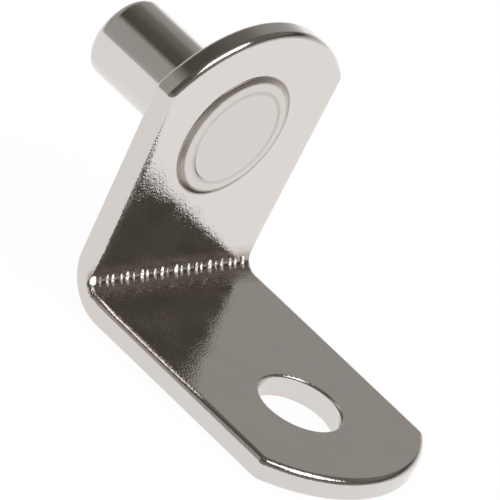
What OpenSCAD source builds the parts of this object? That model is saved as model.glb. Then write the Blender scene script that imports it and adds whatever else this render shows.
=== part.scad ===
// Plug-in shelf support with a screw hole: a bent steel angle plate and a riveted pin.
// Origin: where the pin's axis crosses the plate's back face, the face against the side panel.
// +Y points along the pin into the panel, +Z is up, and the arm that carries the shelf runs to -Y.
// All sizes are in millimetres.

/* [Pin] */
// Diameter of the pin that plugs into the side panel
pin_diameter = 5; // [3:0.1:8]
// Length of the pin from the plate's back face to its free end
pin_length = 8.35; // [5:0.05:14]
// Rounding of the pin's free end
pin_end_round = 0.5; // [0.1:0.05:1]
// Diameter of the neck that passes through the plate
neck_diameter = 4; // [2:0.1:7]
// Gap all round between the neck and its hole in the plate
neck_gap = 0.02; // [0.01:0.01:0.05]
// Diameter of the low head that is pressed over on the plate's inner face
head_diameter = 7.8; // [6:0.1:11]
// Height of the head's flat middle above the inner face
head_height = 0.27; // [0.15:0.01:0.6]
// Height at which the sloping rim of the head meets its crown
rim_height = 0.2; // [0.1:0.01:0.5]
// Width of the sloping rim
rim_width = 0.25; // [0.1:0.05:0.4]
// How far the head sits above the pin's axis
head_up = 0.25; // [0:0.05:0.3]
// How far the head sits to one side of the pin's axis
head_side = 0.25; // [0:0.05:0.3]
// Diameter of the faint ring round the head's flat middle
ring_diameter = 6; // [3:0.1:9]
// Depth of the ring
ring_depth = 0.02; // [0.01:0.005:0.05]
// Width of the ring at the head's surface
ring_width = 0.3; // [0.2:0.05:0.6]

/* [Angle plate] */
// Thickness of the sheet
plate_thickness = 1.35; // [1:0.05:2.5]
// Width of the arm and of the bend
arm_width = 13.2; // [12:0.1:15.5]
// Width of the upright at the corners of its top end, never less than the arm's
top_width = 14; // [11:0.1:22]
// Reach of the arm from the back face to its tip
arm_reach = 19.7; // [17:0.1:30]
// Height of the upright from the arm's underside to its tip
upright_height = 17.6; // [16:0.1:26]
// Height of the pin's axis above the arm's top face
pin_height = 9.35; // [7:0.05:11]
// Radius of the arm's end curve
arm_end_radius = 8.6; // [7:0.1:20]
// Radius of the upright's top curve
top_end_radius = 8.7; // [7.5:0.1:20]
// Rounding of the four corners between the sides and the end curves
corner_round = 0.8; // [0.6:0.05:1.5]
// Radius of the outside of the bend
bend_outer_radius = 3; // [1.5:0.1:4]
// Radius of the inside of the bend
bend_inner_radius = 0.85; // [0.5:0.05:1.1]
// Rounding of the edges on the inner faces
face_edge_round = 0.4; // [0.1:0.05:0.45]
// Rounding of the edges on the back face and the underside
back_edge_round = 0.25; // [0.05:0.05:0.4]

/* [Screw hole] */
// Diameter of the screw hole in the arm
hole_diameter = 4.9; // [3:0.05:6.5]
// Distance of the hole's centre from the back face
hole_reach = 12.85; // [10:0.05:14]
// Rounding of the hole's upper edge
hole_edge_round = 0.15; // [0.05:0.05:0.3]

/* [Corner ribs] */
// Greatest number of small ribs left across the inside corner by the worn bending tool
rib_count = 23; // [9:1:35]
// Mean distance from one rib to the next
rib_pitch = 0.55; // [0.5:0.01:0.8]
// Radius of a middling rib
rib_radius = 0.17; // [0.1:0.01:0.2]
// How far a middling rib stands out of the corner's curve
rib_height = 0.08; // [0.03:0.01:0.1]
// How unevenly the ribs are spaced and sized, from 0 for alike to 1 for very uneven
rib_unevenness = 0.7; // [0:0.05:1]
// Where a rib crosses the corner's curve, in degrees down from the upright
rib_angle = 31; // [25:1:60]

/* [Hidden] */
// how far a cut runs clear of a surface, less than the least inside bend
over = 0.25;
// a rounding's arc is this share larger than its setting, so that it meets each face at a slight angle
edge_lap = 1.01;
fine_fn = 24;
hole_fn = 96;
curve_fn = 180;

// the pin: its neck is always thinner than its shank, and its head always wider
neck_step = 0.2;
head_lip = 0.5;
// sheet left between the head and the plate's edges, beyond the head's greatest shift
head_margin = 0.8;
half_arm = arm_width / 2;
pin_radius = pin_diameter / 2;
neck_radius = min(neck_diameter / 2, pin_radius - neck_step);
neck_hole_radius = neck_radius + neck_gap;
head_radius = min(max(head_diameter / 2, pin_radius + head_lip), half_arm - head_margin);
// height of the upright wall at the foot of the head's rim, and of the crown above the rim
rim_foot = 0.05;
least_crown = 0.02;
// face of the head, measured along the pin from the plate's back face
head_top = -plate_thickness - head_height;
rim_top = -plate_thickness - max(min(rim_height, head_height - least_crown), rim_foot + least_crown);
ring_radius = min(ring_diameter / 2, head_radius - rim_width - ring_width);
// radius of the tool whose shallow cut is ring_width wide and ring_depth deep
ring_tool = (pow(ring_width / 2, 2) + pow(ring_depth, 2)) / (2 * ring_depth);

// the sheet's faces, and the outside of the bend, which keeps at least half the sheet at the corner
inner_y = -plate_thickness;
arm_top = -pin_height;
arm_under = arm_top - plate_thickness;
top_z = max(arm_under + upright_height, head_radius + head_margin);
bend_step = 0.2;
bend_share = 1.9;
outer_bend = min(
    max(bend_outer_radius, bend_inner_radius + bend_step),
    bend_inner_radius + bend_share * plate_thickness
);

// the two bow-shaped ends, whose curves are always flatter than a half circle
bow_step = 0.1;
half_top = max(top_width / 2, half_arm);
top_radius = max(top_end_radius, half_top + bow_step);
end_radius = max(arm_end_radius, half_arm + bow_step);
top_centre_z = top_z - top_radius;
end_centre_y = -arm_reach + end_radius;
top_corner_z = top_centre_z + sqrt(pow(top_radius, 2) - pow(half_top, 2));
end_corner_y = end_centre_y - sqrt(pow(end_radius, 2) - pow(half_arm, 2));
// half the angle that each end curve spans, and how far its edge cut runs on past the corners
top_span = asin(half_top / top_radius);
end_span = asin(half_arm / end_radius);
span_over = 4;
// a corner's arc is this share larger than its setting, so that it crosses its neighbours
corner_lap = 1.004;

// the bend keeps the arm's width, and the upright widens in straight lines from just above it
flare_gap = 0.3;
flare_z = max(arm_under + outer_bend, arm_top + bend_inner_radius) + flare_gap;
flare_angle = atan((half_top - half_arm) / (top_corner_z - flare_z));
flare_over = (top_z + over - flare_z) * tan(flare_angle);
half_wide = half_arm + flare_over + over;
// how far the straight and the flared edge cuts run past each other
flare_lap = 0.05;

// centre of a corner's arc, which touches a straight side and an end curve from inside; the side
// starts at a point and leans outwards by tilt, and the end curve's centre lies at middle
function corner_centre(start, tilt, middle, radius) =
    let (
        side = [sin(tilt), cos(tilt)],
        from = start + corner_round * [-cos(tilt), sin(tilt)] - [0, middle],
        along = from * side
    )
    [0, middle] + from + side * (sqrt(pow(along, 2) - from * from + pow(radius - corner_round, 2)) - along);
top_corner = corner_centre([half_arm, flare_z], flare_angle, top_centre_z, top_radius);
end_corner = corner_centre([half_arm, 0], 0, -end_centre_y, end_radius);
top_corner_angle = atan2(top_corner[1] - top_centre_z, top_corner[0]);
end_corner_angle = atan2(end_corner[1] + end_centre_y, end_corner[0]);

// the screw hole keeps some sheet between it and the arm's tip
hole_margin = 0.8;
hole_radius = hole_diameter / 2;
hole_y = -min(hole_reach, arm_reach - hole_radius - hole_margin);

// the ribs stay on the bend, and their ends are sunk in the sheet
rib_margin = 0.6;
rib_sink = 0.03;
ribs = min(rib_count, floor((arm_width - 2 * rib_margin) / rib_pitch) + 1);
// unevenness from rib to rib, as shares of the pitch, the radius and the height
rib_shift = 0.2;
rib_swell = 0.25;
rib_rise = 0.45;
shift_turn = 137;
swell_turn = 83;
rise_turn = 211;

// corner left over when an edge is rounded: material fills the first quadrant
module edge_shape(r) {
    difference() {
        translate([-over, -over]) square(r + over);
        translate([r, r]) circle(r * edge_lap, $fn = fine_fn);
    }
}

// straight edge cut, along +Z from the origin, with the material towards +X and +Y
module edge_cut(r, len) {
    linear_extrude(len) edge_shape(r);
}

// side view of the sheet, drawn with X along the reach and Y up
module side_view() {
    difference() {
        translate([-arm_reach - over, arm_under]) square([arm_reach + over, top_z - arm_under + over]);
        difference() {
            translate([-arm_reach - 2 * over, arm_top])
                square([arm_reach + 2 * over + inner_y, top_z - arm_top + 2 * over]);
            difference() {
                translate([inner_y - bend_inner_radius, arm_top]) square(bend_inner_radius);
                translate([inner_y - bend_inner_radius, arm_top + bend_inner_radius])
                    circle(bend_inner_radius, $fn = hole_fn);
            }
        }
        difference() {
            translate([-outer_bend, arm_under - over]) square(outer_bend + over);
            translate([-outer_bend, arm_under + outer_bend]) circle(outer_bend, $fn = hole_fn);
        }
    }
}

// what a corner's rounding takes off an outline, between the directions across its two neighbours
module corner_fill(centre, from_angle, to_angle) {
    reach = 3 * corner_round;
    middle_angle = (from_angle + to_angle) / 2;
    translate(centre) difference() {
        polygon([
            [0, 0], reach * [cos(from_angle), sin(from_angle)],
            2 * reach * [cos(middle_angle), sin(middle_angle)], reach * [cos(to_angle), sin(to_angle)]
        ]);
        circle(corner_round * corner_lap, $fn = hole_fn);
    }
}

// outline seen from the front: straight sides, a slight flare and the bow-shaped top
module front_view() {
    difference() {
        front_strip();
        corner_fill(top_corner, -flare_angle, top_corner_angle);
        mirror([1, 0]) corner_fill(top_corner, -flare_angle, top_corner_angle);
    }
}

module front_strip() {
    intersection() {
        polygon([
            [-half_arm, arm_under - over], [half_arm, arm_under - over], [half_arm, flare_z],
            [half_arm + flare_over, top_z + over], [-half_arm - flare_over, top_z + over],
            [-half_arm, flare_z]
        ]);
        union() {
            translate([0, top_centre_z]) circle(top_radius, $fn = curve_fn);
            translate([-half_wide, arm_under - 2 * over])
                square([2 * half_wide, (top_centre_z + top_corner_z) / 2 - arm_under + 2 * over]);
        }
    }
}

// outline seen from above: the arm's parallel sides and its bow-shaped end, and the wider upright
module plan_view() {
    difference() {
        intersection() {
            translate([-half_arm, -arm_reach - over]) square([arm_width, arm_reach + over + inner_y]);
            union() {
                translate([0, end_centre_y]) circle(end_radius, $fn = curve_fn);
                translate([-half_wide, (end_centre_y + end_corner_y) / 2])
                    square([2 * half_wide, arm_reach]);
            }
        }
        mirror([0, 1]) corner_fill(end_corner, 0, end_corner_angle);
        rotate(180) corner_fill(end_corner, 0, end_corner_angle);
    }
    translate([-half_wide, inner_y - over]) square([2 * half_wide, plate_thickness + 2 * over]);
}

// edge cuts down one side, on the faces that meet the shelf and on the faces behind
module side_edge_cuts() {
    r = face_edge_round;
    b = back_edge_round;
    // arm, upper edge and lower edge
    translate([half_arm, -arm_reach - over, arm_top]) rotate([-90, 90, 0])
        edge_cut(r, arm_reach + over + inner_y - bend_inner_radius);
    translate([half_arm, -arm_reach - over, arm_under]) rotate([-90, 180, 0])
        edge_cut(b, arm_reach + over - outer_bend);
    // inside of the bend
    translate([0, inner_y - bend_inner_radius, arm_top + bend_inner_radius]) rotate([0, 90, 0])
        rotate_extrude(angle = 90, $fn = hole_fn)
            translate([bend_inner_radius, half_arm]) mirror([0, 1]) edge_shape(r);
    // outside of the bend
    translate([0, -outer_bend, arm_under + outer_bend]) rotate([0, 90, 0])
        rotate_extrude(angle = 90, $fn = hole_fn)
            translate([outer_bend, half_arm]) mirror([1, 0]) mirror([0, 1]) edge_shape(b);
    // upright, below the flare
    translate([half_arm, inner_y, arm_top + bend_inner_radius]) rotate([0, 0, 90])
        edge_cut(r, flare_z + flare_lap - arm_top - bend_inner_radius);
    translate([half_arm, 0, arm_under + outer_bend]) rotate([0, 0, 180])
        edge_cut(b, flare_z + flare_lap - arm_under - outer_bend);
    // upright, along the flare
    translate([half_arm, 0, flare_z]) rotate([0, flare_angle, 0]) translate([0, 0, -flare_lap]) {
        translate([0, inner_y, 0]) rotate([0, 0, 90]) edge_cut(r, top_z - arm_under);
        rotate([0, 0, 180]) edge_cut(b, top_z - arm_under);
    }
    // corner of the upright's top, and corner of the arm's end
    translate([top_corner[0], 0, top_corner[1]]) rotate([90, 0, 0])
        rotate([0, 0, -flare_angle - span_over]) {
            translate([0, 0, plate_thickness]) corner_cut(flare_angle + top_corner_angle)
                mirror([0, 1]) edge_shape(r);
            corner_cut(flare_angle + top_corner_angle) edge_shape(b);
        }
    translate([end_corner[0], -end_corner[1], 0]) rotate([0, 0, -end_corner_angle - span_over]) {
        translate([0, 0, arm_top]) corner_cut(end_corner_angle) mirror([0, 1]) edge_shape(r);
        translate([0, 0, arm_under]) corner_cut(end_corner_angle) edge_shape(b);
    }
}

// sweeps an edge shape round a corner's arc of the given angle, past its ends on both sides
module corner_cut(angle) {
    end_cut(corner_round * corner_lap, angle / 2) children();
}

// sweeps an edge shape round an end curve of the given radius, past its corners on both sides
module end_cut(radius, span) {
    rotate_extrude(angle = 2 * (span + span_over), $fn = curve_fn)
        translate([radius, 0]) mirror([1, 0]) children();
}

// edge cuts round the two bow-shaped ends
module end_edge_cuts() {
    r = face_edge_round;
    b = back_edge_round;
    translate([0, 0, top_centre_z]) rotate([90, 0, 0]) rotate([0, 0, 90 - top_span - span_over]) {
        translate([0, 0, plate_thickness]) end_cut(top_radius, top_span) mirror([0, 1]) edge_shape(r);
        end_cut(top_radius, top_span) edge_shape(b);
    }
    translate([0, end_centre_y, 0]) rotate([0, 0, 270 - end_span - span_over]) {
        translate([0, 0, arm_top]) end_cut(end_radius, end_span) mirror([0, 1]) edge_shape(r);
        translate([0, 0, arm_under]) end_cut(end_radius, end_span) edge_shape(b);
    }
}

// one small rib lying across the inside corner, its ends sunk in the sheet
module corner_rib(place) {
    swell = 1 + rib_unevenness * rib_swell * sin(swell_turn * place);
    rise = 1 + rib_unevenness * rib_rise * sin(rise_turn * place);
    shift = rib_unevenness * rib_shift * sin(shift_turn * place);
    deep = bend_inner_radius - rib_height * rise;
    half = sqrt(pow(bend_inner_radius + rib_sink, 2) - pow(deep, 2));
    translate([(place + shift) * rib_pitch, inner_y - bend_inner_radius, arm_top + bend_inner_radius])
        rotate([-rib_angle, 0, 0]) translate([0, deep + rib_radius * swell, 0])
            cylinder(h = 2 * half, r = rib_radius * swell, center = true, $fn = fine_fn);
}

module angle_plate() {
    color([0.78, 0.76, 0.73]) {
        difference() {
            intersection() {
                translate([-half_wide, 0, 0]) rotate([90, 0, 90])
                    linear_extrude(2 * half_wide) side_view();
                translate([0, over, 0]) rotate([90, 0, 0])
                    linear_extrude(arm_reach + 3 * over) front_view();
                translate([0, 0, arm_under - over])
                    linear_extrude(top_z - arm_under + 3 * over) plan_view();
            }
            side_edge_cuts();
            mirror([1, 0, 0]) side_edge_cuts();
            end_edge_cuts();
            // hole for the pin's neck
            translate([0, over, 0]) rotate([90, 0, 0])
                cylinder(h = plate_thickness + 2 * over, r = neck_hole_radius, $fn = hole_fn);
            // screw hole and its rounded upper edge
            translate([0, hole_y, arm_under - over])
                cylinder(h = plate_thickness + 2 * over, r = hole_radius, $fn = hole_fn);
            translate([0, hole_y, arm_top]) rotate_extrude($fn = hole_fn)
                translate([hole_radius, 0]) mirror([0, 1]) edge_shape(hole_edge_round);
        }
        for (i = [0 : ribs - 1])
            corner_rib(i - (ribs - 1) / 2);
    }
}

// shank, its rounded end and the neck that passes through the plate
module shank() {
    rotate_extrude($fn = hole_fn) {
        square([pin_radius, pin_length - pin_end_round]);
        square([pin_radius - pin_end_round, pin_length]);
        intersection() {
            translate([pin_radius - pin_end_round, pin_length - pin_end_round])
                circle(pin_end_round, $fn = hole_fn);
            square([pin_radius, pin_length]);
        }
        translate([0, -plate_thickness - rim_foot]) square([neck_radius, plate_thickness + rim_foot + over]);
    }
}

// low head: an upright foot, a sloping rim, a slightly domed crown and the faint ring
module head() {
    rotate_extrude($fn = hole_fn) difference() {
        polygon([
            [0, -plate_thickness], [head_radius, -plate_thickness],
            [head_radius, -plate_thickness - rim_foot], [head_radius - rim_width, rim_top],
            [ring_radius, head_top], [0, head_top]
        ]);
        translate([ring_radius, head_top - ring_tool + ring_depth]) circle(ring_tool, $fn = curve_fn);
    }
}

module pin() {
    color([0.8, 0.79, 0.77]) rotate([-90, 0, 0]) {
        shank();
        translate([-head_side, -head_up, 0]) head();
    }
}

angle_plate();
pin();
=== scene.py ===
import math
import bpy
from mathutils import Matrix, Vector


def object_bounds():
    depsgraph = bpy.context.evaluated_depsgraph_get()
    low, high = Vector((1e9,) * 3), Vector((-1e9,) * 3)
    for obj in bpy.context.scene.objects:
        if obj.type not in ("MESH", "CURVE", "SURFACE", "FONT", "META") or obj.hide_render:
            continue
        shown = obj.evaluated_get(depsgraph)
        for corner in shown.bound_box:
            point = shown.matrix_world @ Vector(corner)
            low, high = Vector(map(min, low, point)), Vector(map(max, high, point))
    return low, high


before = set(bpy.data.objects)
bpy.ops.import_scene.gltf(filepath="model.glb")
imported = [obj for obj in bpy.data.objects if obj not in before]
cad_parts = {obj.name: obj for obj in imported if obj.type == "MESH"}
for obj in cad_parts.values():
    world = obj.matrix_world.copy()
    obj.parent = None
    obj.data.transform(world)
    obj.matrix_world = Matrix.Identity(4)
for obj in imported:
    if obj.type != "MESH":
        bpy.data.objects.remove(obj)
cad_low, cad_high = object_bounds()


# ---------------------------------------------------------------- camera
# A long lens aimed from above at the part's left front, held with a strong roll, so that the pin
# points up to the left and the arm runs down to the right.
mm = 0.001
camera_azimuth = math.radians(-56.14)
camera_elevation = math.radians(27.16)
camera_roll = math.radians(26.30)
camera_distance = 450 * mm
camera_target = Vector((0.442, -5.192, -4.760)) * mm

camera_data = bpy.data.cameras.new("camera")
camera_data.sensor_width = 36
camera_data.lens = 597.3
backward = Vector((
    math.sin(camera_azimuth) * math.cos(camera_elevation),
    -math.cos(camera_azimuth) * math.cos(camera_elevation),
    math.sin(camera_elevation),
))
sideways = Vector((math.cos(camera_azimuth), math.sin(camera_azimuth), 0))
held_level = Matrix((sideways, backward.cross(sideways), backward)).transposed()
held = held_level @ Matrix.Rotation(camera_roll, 3, "Z")
camera = bpy.data.objects.new("camera", camera_data)
camera_place = Matrix.Translation(camera_target + backward * camera_distance)
camera.matrix_world = camera_place @ held.to_4x4()
bpy.context.scene.collection.objects.link(camera)
bpy.context.scene.camera = camera


# ---------------------------------------------------------------- angle plate
# A strip of steel sheet, blanked, bent over a ribbed tool, then barrel finished and plated with
# bright nickel. The plating follows the fine pebbles of the sheet's faces and is smooth on the
# sheared walls. Its long edges are rolled over a little, and its inner corner is worn and streaked.

# sizes in millimetres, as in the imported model: the upright runs along Z, the arm along -Y
sheet = 1.35
inner_face = -sheet
arm_face = -9.35
half_arm = 6.6
half_top = 7.0
flare_start = -7.4
flare_end = 3.37
corner_radius = 0.85
rib_height = 0.08
rib_tilt = math.radians(31)

nickel_light = (0.715, 0.675, 0.645)
nickel_deep = (0.69, 0.655, 0.625)
# painted highlight colour for the ribs
rib_highlight_nickel = (0.86, 0.82, 0.78)
# painted shade colours: in the gap by the pin's head, between the ribs and in the corner
head_gap_shade = (0.42, 0.38, 0.345)
rib_gap_shade = (0.33, 0.29, 0.25)
corner_shade = (0.33, 0.27, 0.20)


def add_node(tree, kind, inputs=(), **settings):
    """New node; inputs maps an input's name or index to another node's output or to a value."""
    node = tree.nodes.new(kind)
    for name, value in settings.items():
        setattr(node, name, value)
    for key, value in dict(inputs).items():
        if isinstance(value, bpy.types.NodeSocket):
            tree.links.new(value, node.inputs[key])
        else:
            node.inputs[key].default_value = value
    return node


def bare_metal(name):
    """New material of metal, with its node tree and its shader."""
    material = bpy.data.materials.new(name)
    material.use_nodes = True
    tree = material.node_tree
    tree.nodes.clear()
    metal = add_node(tree, "ShaderNodeBsdfPrincipled", {"Metallic": 1.0})
    add_node(tree, "ShaderNodeOutputMaterial", {"Surface": metal.outputs["BSDF"]})
    return material, tree, metal


def own_place(tree):
    """Point on a piece in the piece's own coordinates, and the point's X, Y and Z."""
    place = add_node(tree, "ShaderNodeTexCoord").outputs["Object"]
    parts = add_node(tree, "ShaderNodeSeparateXYZ", {0: place}).outputs
    return place, parts["X"], parts["Y"], parts["Z"]


def maths(tree, operation, *values):
    """Result of one sum on masks, heights or plain numbers."""
    return add_node(tree, "ShaderNodeMath", dict(enumerate(values)), operation=operation).outputs[0]


def product(tree, first, *others):
    """Masks or numbers multiplied from left to right."""
    for other in others:
        first = maths(tree, "MULTIPLY", first, other)
    return first


def total(tree, first, *others):
    """Heights or numbers added from left to right."""
    for other in others:
        first = maths(tree, "ADD", first, other)
    return first


def rest_of(tree, mask):
    """The share that a mask leaves bare."""
    return maths(tree, "SUBTRACT", 1.0, mask)


def fade(tree, value, start, end, kind="SMOOTHSTEP"):
    """Mask that rises from 0 at start to 1 at end, smoothly or, as LINEAR, evenly."""
    inputs = {"Value": value, "From Min": start, "From Max": end}
    return add_node(tree, "ShaderNodeMapRange", inputs, interpolation_type=kind).outputs[0]


def band(tree, value, middle, full, reach):
    """Mask that is whole up to full on both sides of the middle, and gone beyond reach."""
    rise = fade(tree, value, middle - reach, middle - full)
    return product(tree, rise, fade(tree, value, middle + reach, middle + full))


def vector_maths(tree, operation, *vectors):
    """Result of one sum on vectors: a number for LENGTH and DOT_PRODUCT, else a vector."""
    node = add_node(tree, "ShaderNodeVectorMath", dict(enumerate(vectors)), operation=operation)
    return node.outputs["Value" if operation in ("LENGTH", "DOT_PRODUCT") else "Vector"]


def distance_from(tree, place, point, across):
    """Millimetres from a point, line or plane; across holds the directions that count."""
    offset = vector_maths(tree, "SUBTRACT", place, Vector(point) * mm)
    return vector_maths(tree, "LENGTH", vector_maths(tree, "MULTIPLY", offset, Vector(across) / mm))


def noise(tree, place, scale, detail, roughness):
    """Cloudy pattern between 0 and 1, with this many lumps in a metre."""
    inputs = {"Vector": place, "Scale": scale, "Detail": detail, "Roughness": roughness}
    return add_node(tree, "ShaderNodeTexNoise", inputs).outputs["Fac"]


def tinted(tree, share, first, second):
    """Colour between two colours or outputs, by a mask."""
    inputs = {0: share}
    for index, colour in ((6, first), (7, second)):
        inputs[index] = colour if isinstance(colour, bpy.types.NodeSocket) else (*colour, 1)
    return add_node(tree, "ShaderNodeMix", inputs, data_type="RGBA").outputs[2]


def leaning(tree, share, first, second):
    """Direction between two directions, by a mask."""
    inputs = {0: share, 4: first, 5: second}
    return add_node(tree, "ShaderNodeMix", inputs, data_type="VECTOR").outputs[1]


def fixed_direction(tree, direction):
    """Direction that keeps to the piece however the piece is turned."""
    return add_node(tree, "ShaderNodeVectorTransform", {0: direction}, vector_type="NORMAL",
                    convert_from="OBJECT", convert_to="WORLD").outputs[0]


def skin_group():
    """Plated skin: fine pebbles, slow waves and blotches, as heights, a roughness and a mask."""
    group = bpy.data.node_groups.new("nickel_skin", "ShaderNodeTree")
    for name in ("Pebble size", "Pebble height", "Wave size", "Wave height", "Roughness",
                 "Roughness spread"):
        group.interface.new_socket(name, in_out="INPUT", socket_type="NodeSocketFloat")
    for name in ("Pebbles", "Waves", "Roughness", "Blotches"):
        group.interface.new_socket(name, in_out="OUTPUT", socket_type="NodeSocketFloat")
    given = group.nodes.new("NodeGroupInput").outputs
    result = group.nodes.new("NodeGroupOutput").inputs
    place = add_node(group, "ShaderNodeTexCoord").outputs["Object"]
    pebble_scale = maths(group, "DIVIDE", 1.0, given["Pebble size"])
    wave_scale = maths(group, "DIVIDE", 1.0, given["Wave size"])
    pebbles = maths(group, "SUBTRACT", noise(group, place, pebble_scale, 2.0, 0.5), 0.5)
    waves = noise(group, place, wave_scale, 1.0, 0.4)
    blotches = noise(group, place, wave_scale, 4.0, 0.6)
    spread = product(group, maths(group, "SUBTRACT", blotches, 0.5), given["Roughness spread"])
    group.links.new(product(group, pebbles, given["Pebble height"]), result["Pebbles"])
    group.links.new(product(group, waves, given["Wave height"]), result["Waves"])
    group.links.new(total(group, given["Roughness"], spread), result["Roughness"])
    group.links.new(blotches, result["Blotches"])
    return group


def plated(tree, **skin_values):
    """Lays the plated skin in a material with its own values, and gives what the skin puts out."""
    skin = tree.nodes.new("ShaderNodeGroup")
    skin.node_tree = nickel_skin
    for name, value in skin_values.items():
        skin.inputs[name.replace("_", " ").capitalize()].default_value = value
    return skin.outputs


def finish_metal(tree, metal, colour, roughness, relief):
    """Joins colour, roughness and relief to a metal's shader; relief holds a height in mm."""
    bump = add_node(tree, "ShaderNodeBump", {"Strength": 1.0, "Distance": mm, **relief})
    tree.links.new(colour, metal.inputs["Base Color"])
    tree.links.new(roughness, metal.inputs["Roughness"])
    tree.links.new(bump.outputs["Normal"], metal.inputs["Normal"])


def dress(piece, material):
    """Gives a piece its one material."""
    piece.data.materials.clear()
    piece.data.materials.append(material)


nickel_skin = skin_group()
plate_nickel, tree, metal = bare_metal("plate_nickel")
place, x, y, z = own_place(tree)
skin = plated(tree, pebble_size=0.13 * mm, pebble_height=0.020, wave_size=2.2 * mm,
              wave_height=0.01, roughness=0.08, roughness_spread=0.04)

# both faces of the sheet are pebbled, and its sheared walls are smooth
upright_depth = distance_from(tree, place, (0, -sheet / 2, 0), (0, 1, 0))
arm_depth = distance_from(tree, place, (0, 0, arm_face - sheet / 2), (0, 0, 1))
on_face = fade(tree, maths(tree, "MINIMUM", upright_depth, arm_depth), 0.30, 0.50)

# millimetres in from the long edges, which flare towards the top, and from the bend's sharp corner
off_middle = product(tree, maths(tree, "ABSOLUTE", x), 1 / mm)
flare = fade(tree, z, flare_start * mm, flare_end * mm, "LINEAR")
half_width = total(tree, product(tree, flare, half_top - half_arm), half_arm)
from_edge = maths(tree, "SUBTRACT", half_width, off_middle)
from_bend = distance_from(tree, place, (0, inner_face, arm_face), (0, 1, 1))

# the upright's long edges roll over gently before their tighter rounding, and the arm's are blunter;
# both rolls have a slightly ragged border and die out at the bend
upright_drop = 0.055
upright_roll_width = 0.78
arm_lift = 0.06
arm_roll_width = 0.30
edge_raggedness = 5.0
ragged_edge = total(tree, from_edge, product(tree, skin["Pebbles"], edge_raggedness))
upright_roll = product(
    tree,
    rest_of(tree, fade(tree, ragged_edge, 0.0, upright_roll_width)),
    -upright_drop,
    fade(tree, z, -8.8 * mm, -6.5 * mm),
)
arm_roll = product(
    tree,
    rest_of(tree, fade(tree, ragged_edge, 0.0, arm_roll_width)),
    arm_lift,
    fade(tree, y, -1.9 * mm, -4.0 * mm),
)
roll = product(tree, total(tree, upright_roll, arm_roll), fade(tree, from_bend, 14.5, 7.0))

# the bend's inside is rounded about this line, and the small ribs stand inside its radius
corner_axis = (0, inner_face - corner_radius, arm_face + corner_radius)
from_axis = distance_from(tree, place, corner_axis, (0, 1, 1))
inside = product(tree, fade(tree, from_axis, 1.6, 1.3), fade(tree, from_edge, 0.0, 0.12))
corner = product(tree, fade(tree, from_bend, 1.1, 0.7), inside)
near_corner = product(tree, fade(tree, from_bend, 1.7, 0.8), inside)
ribs = product(tree, fade(tree, from_axis, corner_radius - 0.01, corner_radius - 0.04), corner)

# millimetres down along the ribs, from the middle of their backs
down_rib = Vector((0, -math.sin(rib_tilt), -math.cos(rib_tilt)))
out_of_rib = Vector((0, math.cos(rib_tilt), -math.sin(rib_tilt)))
rib_middle = Vector(corner_axis) + (corner_radius - rib_height) * out_of_rib
rib_offset = vector_maths(tree, "SUBTRACT", place, rib_middle * mm)
along_rib = product(tree, vector_maths(tree, "DOT_PRODUCT", rib_offset, down_rib), 1 / mm)

# most ribs are worn to a small flat at their upper end, and all these flats face the same way, as
# does a larger one at the corner's left end
rib_wear = 0.8
end_wear = 0.97
wear_spacing = 0.5 * mm
left_end_place = (-6.26, -1.45, -8.86)
flat_direction = (-0.396, -0.594, 0.70)
uneven = add_node(tree, "ShaderNodeTexNoise", {"W": x, "Scale": 1 / wear_spacing, "Detail": 1.0},
                  noise_dimensions="1D").outputs["Fac"]
rib_flats = product(
    tree,
    ribs,
    fade(tree, along_rib, 0.25, 0.05),
    fade(tree, uneven, 0.30, 0.50),
    rib_wear,
)
from_left_end = distance_from(tree, place, left_end_place, (1, 0.8, 0.8))
left_end = fade(tree, from_left_end, 0.27, 0.20)
flats = maths(tree, "MAXIMUM", rib_flats, product(tree, left_end, end_wear))

# above the ribs and between their upper ends the upright's flat face goes on
out_of_upright = (0, -1, 0)
above_ribs = product(
    tree,
    inside,
    fade(tree, along_rib, 0.0, -0.2),
    fade(tree, from_edge, 0.2, 0.45),
    rest_of(tree, ribs),
)
surface = add_node(tree, "ShaderNodeNewGeometry").outputs["Normal"]
flattened = leaning(tree, above_ribs, surface, fixed_direction(tree, out_of_upright))
worn = leaning(tree, flats, flattened, fixed_direction(tree, flat_direction))
worn_surface = vector_maths(tree, "NORMALIZE", worn)

# the ribs are lumpy, and drawn out streaks run along the corner below them
lump_size = 0.22 * mm
lump_height = 0.05
streak_size = 0.12 * mm
streak_height = 0.06
streak_stretch = (0.10, 1, 1)
lumps = noise(tree, place, 1 / lump_size, 1.0, 0.5)
drawn_out = vector_maths(tree, "MULTIPLY", place, streak_stretch)
streaks = noise(tree, drawn_out, 1 / streak_size, 2.0, 0.6)
below_ribs = product(tree, near_corner, fade(tree, along_rib, 0.0, 0.35), rest_of(tree, ribs))
relief = total(
    tree,
    product(tree, ribs, product(tree, lumps, lump_height)),
    product(tree, below_ribs, streaks, streak_height),
)

# painted shade darkens the corner, most of all between the ribs, and the ribs carry a painted
# highlight in a lighter colour
corner_shade_share = 0.36
gap_shade_share = 0.85
gap_shade_lost_above = 0.35
rib_gaps = product(
    tree,
    rest_of(tree, ribs),
    fade(tree, along_rib, 0.3, 0.0),
    corner,
    gap_shade_share,
    rest_of(tree, left_end),
    rest_of(tree, product(tree, above_ribs, gap_shade_lost_above)),
)

# a thin painted shadow of a gap shows on the plate at the lower right of the pin's head, which is
# pressed down unevenly
gap_centre = (-0.19, inner_face, 0.19)
gap_radius = 3.92
from_gap_centre = distance_from(tree, place, gap_centre, (1, 0, 1))
on_inner_face = fade(tree, y, -1.30 * mm, -1.34 * mm)
head_gap_shadow = product(tree, band(tree, from_gap_centre, gap_radius, 0.02, 0.06), on_inner_face)
colour = tinted(tree, skin["Blotches"], nickel_light, nickel_deep)
# painted shadow of the gap by the pin's head
colour = tinted(tree, head_gap_shadow, colour, head_gap_shade)
# painted shade between the ribs
colour = tinted(tree, rib_gaps, colour, rib_gap_shade)
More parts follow.
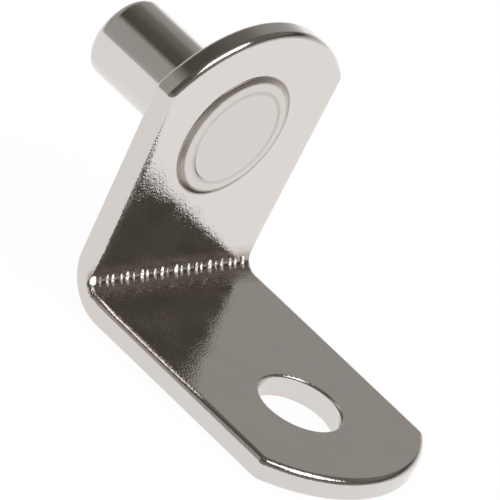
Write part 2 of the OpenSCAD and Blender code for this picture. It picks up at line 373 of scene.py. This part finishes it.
# painted shade in the corner
colour = tinted(tree, product(tree, near_corner, corner_shade_share), colour, corner_shade)
# painted highlight on the ribs
colour = tinted(tree, ribs, colour, rib_highlight_nickel)

# the pebbles are strongest low down, where the strip was stretched by the bending, and fade out in
# patches; the upright's face also swells slightly towards the lower part of its left edge, and the
# worn flat at the corner's left end is smooth
least_pebbled = 0.4
swell_place = (-6.5, inner_face, -5.5)
swell_height = 0.025
rib_dullness = 0.2
stretched = product(tree, fade(tree, z, 2.5 * mm, -1.5 * mm), 1 - least_pebbled)
pebbled = product(
    tree,
    on_face,
    fade(tree, skin["Blotches"], 0.2, 0.75, "LINEAR"),
    total(tree, stretched, least_pebbled),
)
from_swell = distance_from(tree, place, swell_place, (1, 2, 1))
height = total(
    tree,
    product(tree, skin["Pebbles"], pebbled),
    skin["Waves"],
    roll,
    relief,
    product(tree, fade(tree, from_swell, 5.5, 0.5), swell_height),
)
height = product(tree, height, rest_of(tree, left_end))
roughness = total(tree, skin["Roughness"], product(tree, ribs, rib_dullness))
finish_metal(tree, metal, colour, roughness, {"Height": height, "Normal": worn_surface})
dress(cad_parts["angle_plate"], plate_nickel)


# ---------------------------------------------------------------- pin
# Turned from steel bar, plated, pushed through the upright and headed over on its inner face. The
# head's rim is dull and painted a darker grey, and the heading tool marks a faint ring on the crown.

# sizes in millimetres, as in the imported model; the head sits a little off the pin's axis
head_centre = (-0.25, 0, 0.25)
head_radius = 3.9
rim_width = 0.25
ring_radius = 2.98

pin_light = (0.74, 0.70, 0.67)
pin_deep = (0.715, 0.68, 0.65)
crown_nickel = (0.66, 0.625, 0.595)
ring_shade = (0.42, 0.385, 0.35)
rim_dark = (0.38, 0.345, 0.31)
rim_pale = (0.58, 0.54, 0.49)
# painted shade for the line at the rim's foot
foot_shade = (0.34, 0.30, 0.27)

pin_nickel, tree, metal = bare_metal("pin_nickel")
place, _, y, _ = own_place(tree)
skin = plated(tree, pebble_size=0.2 * mm, pebble_height=0.0015, wave_size=3.0 * mm,
              wave_height=0.01, roughness=0.08, roughness_spread=0.04)
on_head = fade(tree, y, -1.34 * mm, -1.36 * mm)
from_centre = distance_from(tree, place, head_centre, (1, 0, 1))

# the dull rim has a ragged inner border and a clean outer one, and a line of painted shade runs at
# its foot
rim_raggedness = 0.12
rim_dullness = 0.3
ragged = product(tree, maths(tree, "SUBTRACT", skin["Blotches"], 0.5), rim_raggedness)
ragged_distance = total(tree, from_centre, ragged)
rim_end = fade(tree, from_centre, head_radius - 0.005, head_radius - 0.035)
dull_rim = product(tree, fade(tree, ragged_distance, 3.48, 3.60), on_head)
rim = product(tree, dull_rim, rim_end)
foot = product(tree, fade(tree, from_centre, 3.76, 3.80), rim_end, on_head)
ring_line = band(tree, ragged_distance, ring_radius, 0.04, 0.18)
ring = product(tree, ring_line, on_head, skin["Blotches"])
rim_shade = tinted(tree, fade(tree, skin["Blotches"], 0.35, 0.65), rim_dark, rim_pale)
colour = tinted(tree, skin["Blotches"], pin_light, pin_deep)
colour = tinted(tree, on_head, colour, crown_nickel)
colour = tinted(tree, ring, colour, ring_shade)
colour = tinted(tree, rim, colour, rim_shade)
# painted shade at the rim's foot
colour = tinted(tree, foot, colour, foot_shade)
roughness = total(tree, skin["Roughness"], product(tree, dull_rim, rim_dullness))

# the crown is a little flatter towards the rim than its mesh
crown_lift = 0.05
towards_rim = fade(tree, from_centre, 3.0, head_radius - rim_width, "LINEAR")
lift = product(tree, towards_rim, crown_lift, on_head)
height = total(tree, skin["Pebbles"], skin["Waves"], lift)
finish_metal(tree, metal, colour, roughness, {"Height": height})
dress(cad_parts["pin"], pin_nickel)


# ---------------------------------------------------------------- floor, room and light
# White paper floor in a plain room that is light low down and darker overhead, with one soft lamp
# high up in front of the upright's inner face.
floor_drop = 0.02 * mm
floor_half = 1.5
floor_z = cad_low[2] - floor_drop
floor_mesh = bpy.data.meshes.new("floor")
floor_mesh.from_pydata(
    [(a * floor_half, b * floor_half, floor_z) for a, b in ((-1, -1), (1, -1), (1, 1), (-1, 1))],
    [],
    [(0, 1, 2, 3)],
)
floor = bpy.data.objects.new("floor", floor_mesh)
bpy.context.scene.collection.objects.link(floor)

# the paper is almost pure white to the lens, keeping a little of the part's shadow, and white in
# the metal, where it falls off a little to the left
paper_colour = (0.97, 0.97, 0.97, 1)
seen_white = 0.94
fall_off = 0.07
paper = bpy.data.materials.new("paper_floor")
paper.use_nodes = True
tree = paper.node_tree
tree.nodes.clear()
path = tree.nodes.new("ShaderNodeLightPath")
matt = add_node(tree, "ShaderNodeBsdfDiffuse", {"Color": paper_colour})
_, x, _, _ = own_place(tree)
darker = product(tree, fade(tree, x, 12 * mm, -8 * mm), path.outputs["Is Glossy Ray"])
strength = rest_of(tree, product(tree, darker, fall_off))
white = add_node(tree, "ShaderNodeEmission", {"Color": (1, 1, 1, 1), "Strength": strength})
seen = product(tree, path.outputs["Is Camera Ray"], seen_white)
white_share = maths(tree, "MAXIMUM", seen, path.outputs["Is Glossy Ray"])
blend = add_node(tree, "ShaderNodeMixShader",
                 {0: white_share, 1: matt.outputs[0], 2: white.outputs[0]})
add_node(tree, "ShaderNodeOutputMaterial", {"Surface": blend.outputs[0]})
dress(floor, paper)

# the walls and ceiling show only in the metal, and light the rest as one plain pale room; what is
# dark in them is a little brown
room_light = (0.95, 0.95, 0.95)
green_loss = 0.13
blue_loss = 0.28
far_direction = (0.105, 0.995, 0.0)
world = bpy.data.worlds.new("room")
bpy.context.scene.world = world
world.use_nodes = True
tree = world.node_tree
tree.nodes.clear()
toward = add_node(tree, "ShaderNodeTexCoord").outputs["Generated"]
toward_parts = add_node(tree, "ShaderNodeSeparateXYZ", {0: toward}).outputs
upward = fade(tree, toward_parts["Z"], -1.0, 1.0, "LINEAR")


def wall(*stops):
    """One side of the room, from pairs of a direction's height and its brightness."""
    ramp = add_node(tree, "ShaderNodeValToRGB", {0: upward})
    elements = ramp.color_ramp.elements
    while len(elements) < len(stops):
        elements.new(0.5)
    for element, (height, bright) in zip(elements, stops):
        gloom = (1 - bright) ** 3
        green = bright * (1 - green_loss * gloom)
        blue = bright * (1 - blue_loss * gloom)
        element.position = (height + 1) / 2
        element.color = (bright, green, blue, 1)
    return ramp.outputs["Color"]


right_wall = wall((-0.2, 0.98), (-0.02, 0.93), (0.1, 0.63), (0.23, 0.45), (0.34, 0.375),
                  (0.5, 0.35), (0.62, 0.30), (0.70, 0.21), (0.76, 0.165))
back_wall = wall((-0.3, 0.87), (-0.01, 0.82), (0.05, 0.45), (0.2, 0.39), (0.68, 0.38),
                 (0.75, 0.19), (0.78, 0.085), (0.95, 0.10))
near_right = wall((-0.42, 0.93), (-0.2, 0.90), (0.03, 0.80), (0.15, 0.60), (0.27, 0.42),
                  (0.35, 0.16), (0.40, 0.058), (0.47, 0.062), (0.54, 0.15), (0.64, 0.19),
                  (0.83, 0.20), (0.9, 0.17))
near_left = wall((-0.42, 0.87), (-0.3, 0.80), (-0.15, 0.50), (0.0, 0.27), (0.2, 0.22),
                 (0.42, 0.20), (0.55, 0.11), (0.8, 0.10), (1.0, 0.17))
near_side = tinted(tree, fade(tree, toward_parts["X"], 0.25, 0.85), near_left, near_right)
far_side = tinted(tree, fade(tree, toward_parts["X"], -0.12, 0.42), back_wall, right_wall)
toward_far_side = vector_maths(tree, "DOT_PRODUCT", toward, far_direction)
room = tinted(tree, fade(tree, toward_far_side, 0.22, 0.40), near_side, far_side)
path = tree.nodes.new("ShaderNodeLightPath")
shown = tinted(tree, path.outputs["Is Glossy Ray"], room_light, room)
background = add_node(tree, "ShaderNodeBackground", {"Color": shown, "Strength": 1.0})
add_node(tree, "ShaderNodeOutputWorld", {"Surface": background.outputs[0]})

# lamp sizes in metres, and its brightness where white paper is 1
lamp_width = 0.29
lamp_depth = 0.27
lamp_distance = 0.45
lamp_brightness = 1.9
lamp_direction = Vector((0.06, -0.54, 0.84)).normalized()
lamp_data = bpy.data.lights.new("soft_lamp", "AREA")
lamp_data.shape = "RECTANGLE"
lamp_data.size = lamp_width
lamp_data.size_y = lamp_depth
lamp_data.energy = lamp_brightness * math.pi * lamp_width * lamp_depth
lamp = bpy.data.objects.new("soft_lamp", lamp_data)
lamp_turn = lamp_direction.to_track_quat("Z", "Y").to_matrix().to_4x4()
lamp.matrix_world = Matrix.Translation(lamp_direction * lamp_distance) @ lamp_turn
bpy.context.scene.collection.objects.link(lamp)

bpy.context.scene.view_settings.view_transform = "Standard"
